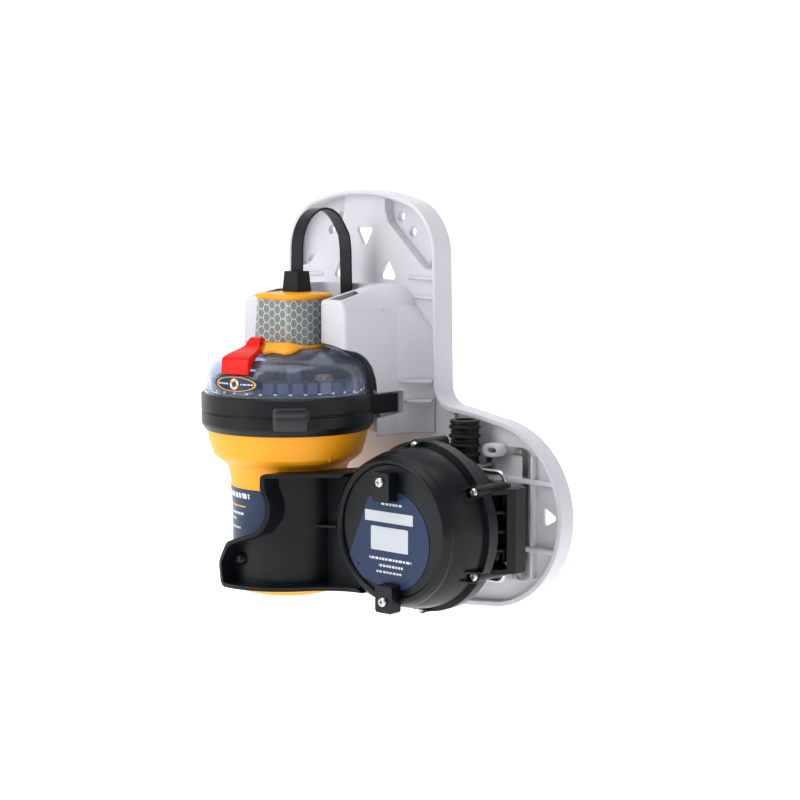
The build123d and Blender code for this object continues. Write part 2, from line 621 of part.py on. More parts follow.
TAB_HALF = 4.5
with BuildPart() as red_tab:
    extrude(outline(switch_plane, (27.6, 33.4), (34.6, 33.4), (34.6, 27.8), (46.5, 22.2), (51.2, 17.4),
                    (52.6, 14.6), (54.9, 14.8), (53.6, 24.8), (52.2, 25.9), (38.5, 30.6), (35.6, 33),
                    (34.2, 37), (32.6, 38), (29, 38), (27.6, 36.4)), amount=12, both=True)
    with BuildSketch(level(8)):
        with BuildLine():
            Polyline(around(SWITCH_ANGLE - 20, 25), around(SWITCH_ANGLE - 13, 36),
                     around(SWITCH_ANGLE - 12, 60), around(SWITCH_ANGLE + 12, 60),
                     around(SWITCH_ANGLE + 13, 36), around(SWITCH_ANGLE + 20, 25), close=True)
        make_face()
    extrude(amount=40, mode=Mode.INTERSECT)
    # narrow upright tab above the broad cover
    for side in (-1, 1):
        extrude(outline(switch_plane.offset(side * TAB_HALF), (20, 33.6), (40, 33.6), (40, 45), (20, 45)),
                amount=side * 20, mode=Mode.SUBTRACT)
save(red_tab, "red_tab")

with BuildPart() as switch_slider:
    with BuildSketch(level(NECK_TOP + 0.3)) as collar:
        with BuildLine():
            inner = CenterArc((0, -BEACON_OUT), NECK_R + 0.3, -90 + SWITCH_ANGLE - 24, 82)
            tip = Line(inner @ 1, around(SWITCH_ANGLE + 62, NECK_R + 1.3))
            flank = Spline(tip @ 1, around(SWITCH_ANGLE + 44, 29), around(SWITCH_ANGLE + 24, 30.5),
                           around(SWITCH_ANGLE + 12, 34.2))
            shoulder = Line(flank @ 1, around(SWITCH_ANGLE - 12, 34.2))
            Line(shoulder @ 1, inner @ 0)
        make_face()
    extrude(amount=3.9)
save(switch_slider, "switch_slider")

with BuildPart() as dome_badge:
    revolve(outline(axial, (53.35, 3.2), (53.75, 3.2), (52.75, 14), (52.35, 14)), axis=beacon_axis)
    badge_plane = Plane(origin=(*around(6, 40), RING_TOP + 8.6),
                        x_dir=(cos(radians(6)), sin(radians(6)), 0),
                        z_dir=(sin(radians(6)), -cos(radians(6)), 0))
    with BuildSketch(badge_plane):
        Ellipse(18.6, 5.3)
    extrude(amount=20, mode=Mode.INTERSECT)
save(dome_badge, "dome_badge")


# ================================================================ release arm and round housing
# free edge of the arm, each corner with its rounding
ARM_EDGE = [((23.2, ARM_TOP), 3), ((22.8, -57), 14), ((25.8, -66), 14), ((25.6, -75), 12), ((21.5, -84), 8),
            ((-2, -92.8), 9), ((-10.8, -107), 9), ((-8.2, ARM_BOTTOM), 5)]


def arm_view(depth, inset=0.0):
    """Front view of the arm: a waved notch above, a dished tip below."""
    with BuildSketch(wall.offset(depth)) as shape:
        with BuildLine():
            Polyline(*[place for place, radius in ARM_EDGE], (UNIT_X, ARM_BOTTOM), (UNIT_X, ARM_TOP),
                     close=True)
        make_face()
        for (x, height), radius in ARM_EDGE:
            fillet(shape.vertices().filter_by(lambda v: abs(v.X - x) + abs(v.Y - height) < 0.1), radius)
        if inset:
            offset(amount=-inset, mode=Mode.REPLACE)
    return shape.sketch


def plan_view():
    """Plan of the arm: its front edge sweeps back to the round housing."""
    with BuildSketch(level(ARM_BOTTOM - 1)) as shape:
        with BuildLine():
            edge = Spline((-14, -136.5), (4, -138.5), (22, -133.5), (37, -122), (48, -108.5), (58, -100),
                          (72, -94.5))
            Polyline(edge @ 1, (UNIT_X, -94.5), (UNIT_X, -FLANGE_OUT), (52, -FLANGE_OUT), (40, -86),
                     (-14, -90), edge @ 0)
        make_face()
    return shape.sketch


def radial_plane(angle, shift=0.0):
    """Plane through the case's axis at an angle; x is the distance from the axis, y the depth."""
    turn = radians(angle)
    normal = (sin(turn), 0, -cos(turn))
    origin = (CASE_X + shift * sin(turn), 0, RING_TOP + CASE_H - shift * cos(turn))
    return Plane(origin=origin, x_dir=(cos(turn), 0, sin(turn)), z_dir=normal)


CLAMP_SCREWS = [(96.5, UNIT_H + 37.3), (99.0, UNIT_H - 37.3)]
CLAMP_PLACES = [(96.5, UNIT_H + 34, 18.5), (99.0, UNIT_H - 36, 17)]
CASE_SCREW_ANGLES = (95, 31, -30, -89)
BOSS_FRONT = 69.0
CASE_SCREWS = [(CASE_X + CASE_SCREW_CIRCLE * cos(radians(a)), CASE_H + CASE_SCREW_CIRCLE * sin(radians(a)))
               for a in CASE_SCREW_ANGLES]
SCREW_SHANK_R = 1.6
FLANGE_FRONT = 66.5
RIM_START = 89.0
CASE_MIDDLE = (CASE_X, CASE_H)
FACE_MIDDLE = (FACE_X, FACE_H)
SHOULDER = 80.0            # plane between the skirt and the face ring
SHOULDER_R = 50.2
SKIRT_R = 50.8
RIM_R = 47.5
SHELL_GAP = 3.0
RIM_SHELL = 3.3
RIM_CLEAR_R = 49.0
SHOULDER_MIDDLE = ((CASE_X + 2 * FACE_X) / 3, CASE_H)
face_rim = outline(face_axial, (44.4, RIM_START - 1), (RIM_R, RIM_START), (47.2, 91), (45.6, 94.2),
                   (44.2, 95.4), (42.6, 95.4), (41.4, 94), (41.4, RIM_START), (43.8, RIM_START - 1))

with BuildPart() as release_arm:
    extrude(arm_view(60), amount=ARM_REACH - 60)
    extrude(plan_view(), amount=ARM_TOP - ARM_BOTTOM + 2, mode=Mode.INTERSECT)
    # tray between the lips, as deep as the curved seat and the web beside it
    with BuildPart(mode=Mode.PRIVATE) as tray:
        extrude(arm_view(60, ARM_WALL), amount=ARM_REACH - 60)
        extrude(disc(level(-130), ARM_BORE + ARM_WALL, at=(0, -BEACON_OUT)), amount=100, mode=Mode.SUBTRACT)
        extrude(outline(level(-130), (40, -60), (110, -60), (110, -90.5), (40, -90.5)), amount=100,
                mode=Mode.SUBTRACT)
    add(tray.part, mode=Mode.SUBTRACT)
    extrude(disc(level(-130), ARM_BORE, at=(0, -BEACON_OUT)), amount=100, mode=Mode.SUBTRACT)
    extrude(disc(level(-52), ARM_BORE + 2.2, at=(0, -BEACON_OUT)), amount=10, mode=Mode.SUBTRACT)
    # round housing: flange, leaning wall and rim of the face
    extrude(disc(wall.offset(FLANGE_OUT), FLANGE_R, at=CASE_MIDDLE), amount=FLANGE_FRONT - FLANGE_OUT)
    loft([disc(wall.offset(FLANGE_FRONT), SKIRT_R, at=CASE_MIDDLE),
          disc(wall.offset(SHOULDER), SHOULDER_R, at=SHOULDER_MIDDLE),
          disc(wall.offset(RIM_START), RIM_R, at=FACE_MIDDLE)])
    loft([disc(wall.offset(FLANGE_OUT - 0.01), SKIRT_R - SHELL_GAP, at=CASE_MIDDLE),
          disc(wall.offset(SHOULDER), SHOULDER_R - SHELL_GAP, at=SHOULDER_MIDDLE),
          disc(wall.offset(RIM_START + 0.01), RIM_R - RIM_SHELL, at=FACE_MIDDLE)], mode=Mode.SUBTRACT)
    extrude(disc(wall.offset(RIM_START), RIM_CLEAR_R, at=FACE_MIDDLE), amount=20, mode=Mode.SUBTRACT)
    revolve(face_rim, axis=face_axis)
    for x, height in CLAMP_SCREWS:
        extrude(disc(wall.offset(86), SCREW_SHANK_R + 0.05, at=(x, height)), amount=12, mode=Mode.SUBTRACT)
    # thin rib across the web
    extrude(outline(level(-83.5), (38, -90.5), (52, -90.5), (52, -94), (42, -98.5), (38, -101)), amount=1.4)
    # bosses and paired ribs for the case screws
    for x, height in CASE_SCREWS:
        extrude(disc(wall.offset(FLANGE_OUT), 4.2, at=(x, height)), amount=BOSS_FRONT - FLANGE_OUT)
    for angle in CASE_SCREW_ANGLES:
        for shift in (-3.6, 3.6):
            extrude(outline(radial_plane(angle, shift), (49.4, 64), (54.0, 66), (52.6, 71.5), (49.8, 79)),
                    amount=0.7, both=True)
    for x, height in CASE_SCREWS:
        extrude(disc(wall.offset(BOSS_FRONT), 3.3, at=(x, height)), amount=6, mode=Mode.SUBTRACT)
        with Locations(wall.offset(BOSS_FRONT) * Location((x, height))):
            Hole(SCREW_SHANK_R + 0.05)
    # spherical bump in the dished tip
    with Locations((0.5, -127.5, RING_TOP - 105)):
        Sphere(4.2)
    extrude(disc(level(-130), ARM_BORE, at=(0, -BEACON_OUT)), amount=60, mode=Mode.SUBTRACT)
save(release_arm, "release_arm")

COVER_FRONT = 92.6
LABEL_REACH = 40.8
CLAMP_FRONT = 101.0
with BuildPart() as unit_cover:
    revolve(outline(face_axial, (0, 89.6), (41.2, 89.6), (41.2, COVER_FRONT), (0, COVER_FRONT)),
            axis=face_axis)
    with Locations(wall.offset(COVER_FRONT) * Location(CLAMP_SCREWS[0])):
        Hole(SCREW_SHANK_R + 0.05)
save(unit_cover, "unit_cover")

with BuildPart() as unit_clamps:
    for x, height, reach in CLAMP_PLACES:
        with BuildSketch(wall.offset(COVER_FRONT)):
            with Locations((x, height)):
                Rectangle(14, reach)
        extrude(amount=CLAMP_FRONT - COVER_FRONT)
    chamfer(unit_clamps.edges().filter_by(Axis.Y), 1.2)
    revolve(outline(face_axial, (41.3, 90), (60, 90), (60, 91), (47.3, 91), (45.65, 94.25), (44.25, 95.45),
                    (42.55, 95.45), (41.3, 94.05)), axis=face_axis, mode=Mode.SUBTRACT)
    for x, height in CLAMP_SCREWS:
        with Locations(wall.offset(CLAMP_FRONT) * Location((x, height))):
            Hole(SCREW_SHANK_R + 0.05)
save(unit_clamps, "unit_clamps")

LABEL_THICK = 0.4
with BuildPart() as unit_label:
    with BuildSketch(wall.offset(COVER_FRONT)):
        with BuildLine():
            left = Polyline((UNIT_X - 19.5, UNIT_H + 24.7), (UNIT_X - 36.8, UNIT_H - 16.5),
                            (UNIT_X - 31.8, UNIT_H - 24.6), (UNIT_X - 13.5, UNIT_H - 28.5))
            ThreePointArc(left @ 1, (UNIT_X + 31.5, UNIT_H), left @ 0)
        make_face()
        with Locations(FACE_MIDDLE):
            Circle(LABEL_REACH, mode=Mode.INTERSECT)
        with Locations([(x, height) for x, height, reach in CLAMP_PLACES]):
            Rectangle(14.2, 18.8, mode=Mode.SUBTRACT)
    extrude(amount=LABEL_THICK)
save(unit_label, "unit_label")

with BuildPart() as label_windows:
    with BuildSketch(wall.offset(COVER_FRONT + LABEL_THICK)):
        with Locations((UNIT_X - 1.5, UNIT_H + 14.2)):
            Rectangle(40, 6.8)
        with Locations((UNIT_X - 1, UNIT_H + 0.4)):
            RectangleRounded(31, 15, 1)
    extrude(amount=0.3)
save(label_windows, "label_windows")


def pan_screw(x, height, seat, tip):
    """Pan head screw with a cross recess, its head on a seat at a depth from the wall."""
    with BuildPart() as screw:
        extrude(disc(wall.offset(tip), SCREW_SHANK_R, at=(x, height)), amount=seat - tip)
        extrude(disc(wall.offset(seat), 3.1, at=(x, height)), amount=2.2)
        fillet(screw.edges().group_by(Axis.Y)[0], 1.2)
        with BuildSketch(wall.offset(seat + 1)):
            with Locations((x, height)):
                Rectangle(3.2, 0.8)
                Rectangle(0.8, 3.2)
        extrude(amount=2, mode=Mode.SUBTRACT)
    return screw.part


with BuildPart() as case_screws:
    for x, height in CASE_SCREWS:
        add(pan_screw(x, height, BOSS_FRONT, 48))
save(case_screws, "case_screws")

with BuildPart() as clamp_screws:
    for x, height in CLAMP_SCREWS:
        add(pan_screw(x, height, CLAMP_FRONT, 88))
save(clamp_screws, "clamp_screws")

# rear case with a socket for the latch stud
SOCKET_R = 10.0
with BuildPart() as rear_case:
    revolve(outline(case_axial, (SOCKET_R, UNIT_BACK), (43, UNIT_BACK), (46, 43), (46, 58.4),
                    (FLANGE_R, 58.4), (FLANGE_R, FLANGE_OUT), (44, FLANGE_OUT), (43.4, 45),
                    (41.8, UNIT_BACK + SHELL), (SOCKET_R + 2, UNIT_BACK + SHELL), (SOCKET_R + 2, 54),
                    (0, 54), (0, 52), (SOCKET_R, 52)), axis=case_axis)
    for x, height in CASE_SCREWS:
        extrude(disc(wall.offset(UNIT_BACK + 1), 4.0, at=(x, height)), amount=FLANGE_OUT - UNIT_BACK - 1)
    revolve(outline(case_axial, (SOCKET_R + 3, 46), (43.4, 46), (44, FLANGE_OUT),
                    (SOCKET_R + 3, FLANGE_OUT)), axis=case_axis, mode=Mode.SUBTRACT)
    for x, height in CASE_SCREWS:
        with Locations(wall.offset(FLANGE_OUT) * Location((x, height))):
            Hole(SCREW_SHANK_R + 0.05)
save(rear_case, "rear_case")

# finned block that turns on the bail
BLOCK_TOP = -53.5
BLOCK_BOTTOM = -106.5
BLOCK_WALL = 3.0
FIN_HEIGHTS = (-69, -81, -93)
block_plan = outline(level(BLOCK_BOTTOM), (118, -28.5), (152, -28.5), (157, -33), (157, -43), (148.5, -58),
                     (118, -58))
fin_plan = outline(level(0), (130, -33), (155, -33), (155, -42), (146, -57), (130, -57))
with BuildPart() as hinge_block:
    extrude(block_plan, amount=BLOCK_TOP - BLOCK_BOTTOM)
    extrude(outline(level(BLOCK_BOTTOM + BLOCK_WALL), (130, -32), (151, -32), (154, -34), (154, -70),
                    (130, -70)), amount=BLOCK_TOP - BLOCK_BOTTOM - 2 * BLOCK_WALL, mode=Mode.SUBTRACT)
    extrude(disc(level(BLOCK_BOTTOM), 3.6, at=(HINGE_X, -HINGE_OUT)), amount=BLOCK_TOP - BLOCK_BOTTOM)
    for height in FIN_HEIGHTS:
        extrude(fin_plan.moved(Location((0, 0, height))), amount=1.7)
    revolve(outline(case_axial, (0, UNIT_BACK), (46.02, UNIT_BACK), (46.02, 58.4), (FLANGE_R + 1, 58.4),
                    (FLANGE_R + 1, 80), (0, 80)), axis=case_axis, mode=Mode.SUBTRACT)
    for x, height in CASE_SCREWS:
        extrude(disc(wall.offset(20), 4.1, at=(x, height)), amount=60, mode=Mode.SUBTRACT)
    with Locations(Location((HINGE_X, -HINGE_OUT, RING_TOP + BLOCK_TOP))):
        Hole(WIRE_R + 0.06)
save(hinge_block, "hinge_block")

# what the unit holds: diaphragm, spring and plunger
with BuildPart() as diaphragm:
    revolve(outline(case_axial, (3.2, 74), (20, 74), (26, 71), (40, 71), (40, 73), (27, 73), (21, 75.6),
                    (3.2, 75.6)), axis=case_axis)
save(diaphragm, "diaphragm")

with BuildPart() as release_plunger:
    revolve(outline(case_axial, (0, 58), (3, 58), (3, 71), (9, 71), (9, 73.6), (3, 73.6), (3, 80), (0, 80)),
            axis=case_axis)
save(release_plunger, "release_plunger")

with BuildPart() as plunger_spring:
    spring_coil = Helix(pitch=3.0, height=11, radius=6.5).moved(
        Location((CASE_X, -55, RING_TOP + CASE_H), (90, 0, 0)))
    with BuildSketch(Plane(origin=spring_coil @ 0, z_dir=spring_coil % 0)):
        Circle(0.6)
    sweep(path=spring_coil)
save(plunger_spring, "plunger_spring")
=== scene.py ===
import json
from math import cos, degrees, radians, sin, sqrt

import bmesh
import bpy
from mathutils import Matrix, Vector


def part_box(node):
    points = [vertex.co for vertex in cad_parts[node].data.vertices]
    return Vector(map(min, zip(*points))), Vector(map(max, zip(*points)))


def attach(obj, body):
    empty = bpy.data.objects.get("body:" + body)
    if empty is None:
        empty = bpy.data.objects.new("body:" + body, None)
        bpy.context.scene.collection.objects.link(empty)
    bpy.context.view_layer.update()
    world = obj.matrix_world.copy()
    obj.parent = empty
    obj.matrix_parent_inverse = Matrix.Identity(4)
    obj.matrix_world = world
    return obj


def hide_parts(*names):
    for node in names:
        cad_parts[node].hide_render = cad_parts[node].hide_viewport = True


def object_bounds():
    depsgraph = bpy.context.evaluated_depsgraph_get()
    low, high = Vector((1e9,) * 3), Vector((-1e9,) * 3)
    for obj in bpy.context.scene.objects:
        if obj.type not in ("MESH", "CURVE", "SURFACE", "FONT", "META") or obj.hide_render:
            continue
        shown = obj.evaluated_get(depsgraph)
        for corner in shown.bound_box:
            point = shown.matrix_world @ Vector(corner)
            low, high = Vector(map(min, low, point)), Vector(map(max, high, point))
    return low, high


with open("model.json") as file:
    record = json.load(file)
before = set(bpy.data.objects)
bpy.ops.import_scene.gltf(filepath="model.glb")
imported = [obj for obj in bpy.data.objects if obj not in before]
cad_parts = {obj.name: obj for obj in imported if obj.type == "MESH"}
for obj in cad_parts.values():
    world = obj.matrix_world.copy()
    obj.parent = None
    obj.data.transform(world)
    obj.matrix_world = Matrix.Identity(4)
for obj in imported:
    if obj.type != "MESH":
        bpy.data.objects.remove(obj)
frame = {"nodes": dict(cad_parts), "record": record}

CAD_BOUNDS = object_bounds()
MM = 0.001
NODES = frame["nodes"]


# ---------------------------------------------------------------- places, worked out from the frame
def middle(node):
    """Middle of a CAD node's box."""
    low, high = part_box(node)
    return (low + high) / 2


ring_low, ring_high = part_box("seal_ring")
RING_TOP = ring_high.z                                   # top edge of the seal ring
BEACON = Vector((0, middle("seal_ring").y, RING_TOP))    # beacon's axis at that height
UNIT = Vector((middle("unit_cover").x, 0, middle("unit_cover").z))   # round unit's axis on the wall


def wall_point(x, depth, height):
    """Point from millimetres: across, out of the wall, over the seal ring's top edge."""
    return Vector((x * MM, -depth * MM, RING_TOP + height * MM))


def around(angle, radius, height):
    """Point about the beacon's axis, in millimetres; 0 degrees faces away from the wall."""
    turn = radians(angle)
    return BEACON + Vector((radius * sin(turn), -radius * cos(turn), height)) * MM


# ---------------------------------------------------------------- node trees
class Tree:
    """A material's node tree with short calls for the nodes that the materials share."""

    def __init__(self, name):
        self.material = bpy.data.materials.new(name)
        self.material.use_nodes = True
        self.tree = self.material.node_tree
        self.shader = self.tree.nodes["Principled BSDF"]
        coordinates = self.node("ShaderNodeTexCoord")
        self.place = coordinates.outputs["Object"]

    def node(self, kind, **values):
        made = self.tree.nodes.new(kind)
        for key, value in values.items():
            setattr(made, key, value)
        return made

    def link(self, start, end):
        self.tree.links.new(start, end)

    def feed(self, node, **inputs):
        """Sets or links a node's inputs by name."""
        for key, value in inputs.items():
            socket = node.inputs[key.replace("_", " ")]
            if isinstance(value, bpy.types.NodeSocket):
                self.link(value, socket)
            elif isinstance(value, tuple) and len(value) == 3:
                socket.default_value = (*value, 1)
            else:
                socket.default_value = value
        return node

    def noise(self, scale, detail=3.0, rough=0.55, place=None):
        made = self.node("ShaderNodeTexNoise")
        self.feed(made, Vector=place or self.place, Scale=scale, Detail=detail, Roughness=rough)
        return made.outputs["Fac"]

    def ramp(self, factor, *stops):
        """Colour ramp from (position, colour) stops."""
        made = self.node("ShaderNodeValToRGB")
        while len(made.color_ramp.elements) < len(stops):
            made.color_ramp.elements.new(0.5)
        for element, (position, colour) in zip(made.color_ramp.elements, stops):
            element.position = position
            element.color = (*colour, 1) if len(colour) == 3 else colour
        self.link(factor, made.inputs["Fac"])
        return made.outputs["Color"]

    def span(self, value, low, high, start=0.0, end=1.0):
        """Maps a value from one range to another, clamped."""
        made = self.node("ShaderNodeMapRange")
        for socket, number in zip(made.inputs[1:5], (low, high, start, end)):
            socket.default_value = number
        self.link(value, made.inputs[0])
        return made.outputs[0]

    def maths(self, operation, first, second=0.0):
        made = self.node("ShaderNodeMath", operation=operation)
        for socket, value in zip(made.inputs, (first, second)):
            if isinstance(value, bpy.types.NodeSocket):
                self.link(value, socket)
            else:
                socket.default_value = value
        return made.outputs[0]

    def mix(self, factor, first, second):
        made = self.node("ShaderNodeMix", data_type="RGBA")
        for socket, value in ((made.inputs[0], factor), (made.inputs[6], first), (made.inputs[7], second)):
            if isinstance(value, bpy.types.NodeSocket):
                self.link(value, socket)
            elif isinstance(value, tuple):
                socket.default_value = (*value, 1) if len(value) == 3 else value
            else:
                socket.default_value = value
        return made.outputs[2]

    def axes(self, place=None):
        made = self.node("ShaderNodeSeparateXYZ")
        self.link(place or self.place, made.inputs[0])
        return made.outputs[0], made.outputs[1], made.outputs[2]

    def shift(self, offset, place=None):
        made = self.node("ShaderNodeVectorMath", operation="SUBTRACT")
        self.link(place or self.place, made.inputs[0])
        made.inputs[1].default_value = offset
        return made.outputs[0]

    def surface(self, colour, roughness=0.5, **values):
        self.feed(self.shader, Base_Color=colour, Roughness=roughness, **values)

    def relief(self, height, depth, strength=1.0, round_edges=0.0):
        """Bump from a height in 0..1, on normals that may be rounded at the edges."""
        made = self.node("ShaderNodeBump")
        self.feed(made, Height=height, Distance=depth * MM, Strength=strength)
        if round_edges:
            self.link(self.rounded(round_edges), made.inputs["Normal"])
        self.link(made.outputs[0], self.shader.inputs["Normal"])

    def rounded(self, radius):
        made = self.node("ShaderNodeBevel", samples=4)
        made.inputs["Radius"].default_value = radius * MM
        return made.outputs[0]


def shade(colour, factor):
    """Colour made darker or lighter."""
    return tuple(min(1.0, c * factor) for c in colour)


MATERIALS = {}


def moulded(name, colour, rough=(0.34, 0.46), grain=0.35, grain_depth=0.02, patch=0.05, edge=0.5,
            dust=None, **values):
    """Injection-moulded plastic: spark-eroded grain, faint flow marks, uneven gloss, rounded edges."""
    t = Tree(name)
    flow = t.noise(22, 3)
    tone = t.ramp(flow, (0.3, shade(colour, 1 - patch)), (0.7, shade(colour, 1 + patch)))
    if dust:
        specks = t.span(t.noise(420, 4, 0.7), 0.60, 0.76)
        tone = t.mix(t.maths("MULTIPLY", specks, 0.35), tone, dust)
    gloss = t.span(t.noise(60, 4), 0.3, 0.7, *rough)
    t.surface(tone, gloss, **values)
    t.relief(t.noise(1000 / grain, 2), grain_depth, 0.8, edge)
    MATERIALS[name] = t.material
    return t


def bare_metal(name, colour):
    """Brushed or drawn metal with fine streaks."""
    t = Tree(name)
    squeeze = t.node("ShaderNodeMapping")
    squeeze.inputs["Scale"].default_value = (1, 1, 12)
    t.link(t.place, squeeze.inputs["Vector"])
    streaks = t.noise(900, 4, 0.6, squeeze.outputs[0])
    stains = t.noise(70, 3)
    t.surface(t.ramp(stains, (0.3, shade(colour, 0.86)), (0.7, shade(colour, 1.06))),
              t.span(streaks, 0.3, 0.7, 0.22, 0.38), Metallic=1.0)
    t.relief(streaks, 0.006, 0.7, 0.3)
    MATERIALS[name] = t.material


# ---------------------------------------------------------------- materials
WHITE = (0.64, 0.648, 0.69)
YELLOW = (0.91, 0.365, 0.006)
BLACK = (0.0050, 0.0058, 0.0076)
NAVY = (0.014, 0.030, 0.080)
RED = (0.68, 0.006, 0.002)
STEEL = (0.60, 0.59, 0.57)
PAPER = (0.62, 0.65, 0.68)
GOLD = (0.82, 0.40, 0.02)

moulded("white_plastic", WHITE, (0.36, 0.48), 0.5, 0.018, 0.02, 1.3, Specular_IOR_Level=0.4)
moulded("yellow_plastic", YELLOW, (0.33, 0.45), 0.45, 0.022, 0.05, 0.5, Specular_IOR_Level=0.36)
moulded("black_plastic", BLACK, (0.27, 0.42), 0.4, 0.016, 0.12, 0.6, dust=(0.02, 0.022, 0.026),
        Specular_IOR_Level=0.24)
moulded("antenna_black", (0.0055, 0.006, 0.0078), (0.26, 0.40), 0.3, 0.01, 0.15, 0.3, Specular_IOR_Level=0.3)
moulded("black_rubber", (0.005, 0.005, 0.006), (0.40, 0.60), 0.5, 0.03, 0.2, 0.4, Specular_IOR_Level=0.25)
moulded("grey_plastic", (0.20, 0.21, 0.23), (0.4, 0.55), 0.5, 0.02, 0.06, 0.4)
moulded("red_plastic", RED, (0.24, 0.34), 0.5, 0.010, 0.05, 0.5, Specular_IOR_Level=0.14)
moulded("battery_wrap", (0.03, 0.05, 0.2), (0.2, 0.35), 0.6, 0.01, 0.1, 0.3)
moulded("chip_black", (0.012, 0.012, 0.014), (0.35, 0.5), 0.2, 0.01, 0.2, 0.1)
moulded("ceramic_patch", (0.36, 0.33, 0.27), (0.35, 0.5), 0.3, 0.01, 0.08, 0.2)
moulded("yellow_part", (0.75, 0.48, 0.03), (0.2, 0.3), 0.4, 0.008, 0.06, 0.2)
moulded("led_lens", (0.80, 0.76, 0.45), (0.12, 0.2), 0.4, 0.006, 0.05, 0.2)
moulded("label_grey", (0.50, 0.535, 0.56), (0.30, 0.42), 0.3, 0.004, 0.03, 0.0)
moulded("navy_label", NAVY, (0.24, 0.34), 0.3, 0.004, 0.08, 0.0)
moulded("diffuser_plastic", (0.19, 0.23, 0.33), (0.16, 0.26), 0.5, 0.008, 0.10, 0.2)
# Glowing white for the beads at the foot of the light ring: painted highlights that glow though they are no
# lamp
moulded("glowing_glint_white", (0.9, 0.92, 0.95), (0.1, 0.16), 0.5, 0.004, 0.02, 0.0, Emission_Color=(1, 1, 1, 1),
        Emission_Strength=0.6)
moulded("navy_inside", (0.014, 0.021, 0.048), (0.25, 0.4), 0.5, 0.01, 0.2, 0.2)
bare_metal("steel", STEEL)
bare_metal("spring_steel", (0.42, 0.41, 0.40))
bare_metal("copper", (0.72, 0.33, 0.15))


def circuit_board():
    """Solder mask over a faint grid of tracks and pads."""
    t = Tree("circuit_board")
    x, y, z = t.axes()
    tracks = t.maths("GREATER_THAN", t.maths("FRACT", t.maths("MULTIPLY", x, 420)), 0.72)
    rows = t.maths("GREATER_THAN", t.maths("FRACT", t.maths("MULTIPLY", y, 240)), 0.35)
    copper = t.maths("MULTIPLY", t.maths("MULTIPLY", tracks, rows), t.span(t.noise(40), 0.45, 0.55))
    t.surface(t.mix(copper, (0.012, 0.050, 0.034), (0.03, 0.11, 0.06)), 0.35)
    t.relief(copper, 0.03, 0.5)
    MATERIALS["circuit_board"] = t.material


circuit_board()


CELL = 0.0057           # pitch of the hexagons, in metres


def honeycomb():
    """Retroreflective film: grey hexagons between pale lines."""
    t = Tree("reflective_tape")
    x, y, z = t.axes()
    across = t.maths("ADD", x, y)
    u = t.maths("DIVIDE", across, CELL * sqrt(3))
    v = t.maths("DIVIDE", z, CELL)

    def hexagon(shift):
        """Distance to the nearest middle on one of two interleaved grids: 0.5 at a hexagon's rim."""
        du, dv = (t.maths("ABSOLUTE", t.maths("SUBTRACT", t.maths("FRACT", t.maths("ADD", w, shift)), 0.5))
                  for w in (u, v))
        du = t.maths("MULTIPLY", du, sqrt(3))
        slanted = t.maths("ADD", t.maths("MULTIPLY", du, sqrt(3) / 2), t.maths("MULTIPLY", dv, 0.5))
        return t.maths("MAXIMUM", slanted, dv)

    rim = t.maths("MINIMUM", hexagon(0.0), hexagon(0.5))
    line = t.span(rim, 0.435, 0.465)
    speckle = t.noise(900, 3)
    cell_tone = t.ramp(speckle, (0.3, (0.155, 0.18, 0.18)), (0.7, (0.205, 0.235, 0.232)))
    t.surface(t.mix(line, cell_tone, (0.56, 0.59, 0.58)), t.span(line, 0, 1, 0.30, 0.5), Coat_Weight=0.25)
    t.relief(line, 0.03, 0.6)
    MATERIALS["reflective_tape"] = t.material


honeycomb()


def clear_shell():
    """Clear polycarbonate with the faintest of scratches and a blue-grey tint."""
    t = Tree("clear_plastic")
    t.surface((0.62, 0.69, 0.86), 0.03, IOR=1.42, Transmission_Weight=0.94)
    t.relief(t.noise(300, 3), 0.004, 0.4)
    MATERIALS["clear_plastic"] = t.material


clear_shell()


def latch_black():
    """Black plastic with a field of fine raised dots."""
    t = moulded("latch_black", shade(BLACK, 1.4), (0.30, 0.42), 0.4, 0.016, 0.1, 0.4)
    dots = t.node("ShaderNodeTexVoronoi")
    t.feed(dots, Vector=t.place, Scale=900.0, Randomness=0.15)
    t.relief(t.span(dots.outputs["Distance"], 0.15, 0.45, 1, 0), 0.10, 0.8, 0.3)


latch_black()


# ---------------------------------------------------------------- printed films
def local_point(node, point):
    """A world point in a node's own coordinates."""
    return tuple(NODES[node].matrix_world.inverted() @ point)


def product(t, *factors):
    result = factors[0]
    for factor in factors[1:]:
        result = t.maths("MULTIPLY", result, factor)
    return result


def between(t, value, low, high):
    """1 where a value lies in a range."""
    return product(t, t.maths("GREATER_THAN", value, low), t.maths("LESS_THAN", value, high))


def dashes(t, across, up, rows):
    """Printed rows of short dashes; each row is (left, right, height, thickness, pitch) in millimetres."""
    ink = None
    for left, right, height, thickness, pitch in rows:
        wander = t.maths("MULTIPLY", t.noise(120, 1), 1.6)
        beat = t.maths("FRACT", t.maths("ADD", t.maths("DIVIDE", across, pitch * MM), wander))
        row = product(t, between(t, across, left * MM, right * MM),
                      between(t, up, (height - thickness / 2) * MM, (height + thickness / 2) * MM),
                      t.maths("LESS_THAN", beat, 0.72))
        ink = row if ink is None else t.maths("MAXIMUM", ink, row)
    return ink


